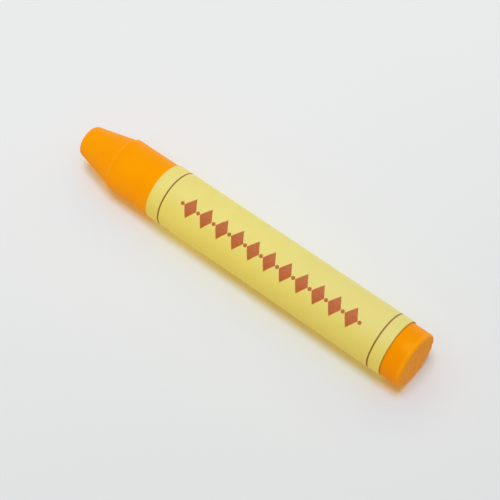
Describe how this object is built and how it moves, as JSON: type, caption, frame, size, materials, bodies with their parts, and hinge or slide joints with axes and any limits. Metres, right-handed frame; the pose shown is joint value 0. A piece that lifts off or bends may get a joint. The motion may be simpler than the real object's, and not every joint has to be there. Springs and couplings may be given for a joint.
{
  "type": "beeswax crayon",
  "caption": "Round stick of cast orange beeswax with a blunt tapered nose behind a small shoulder and a flat rear face, in a glued roll of pale yellow paper.",
  "frame": {"origin": "centre of the flat rear face, on which the crayon stands", "axes": "+Z along the stick, towards its nose"},
  "size_m": [0.0124, 0.0124, 0.085],
  "materials": {
    "wax": "smooth cast beeswax with a soft, weak shine",
    "paper": "uncoated pale yellow paper with thin brown printed rings"
  },
  "bodies": {
    "root": {"wax_stick": "wax", "paper_wrapper": "paper"}
  },
  "joints": []
}
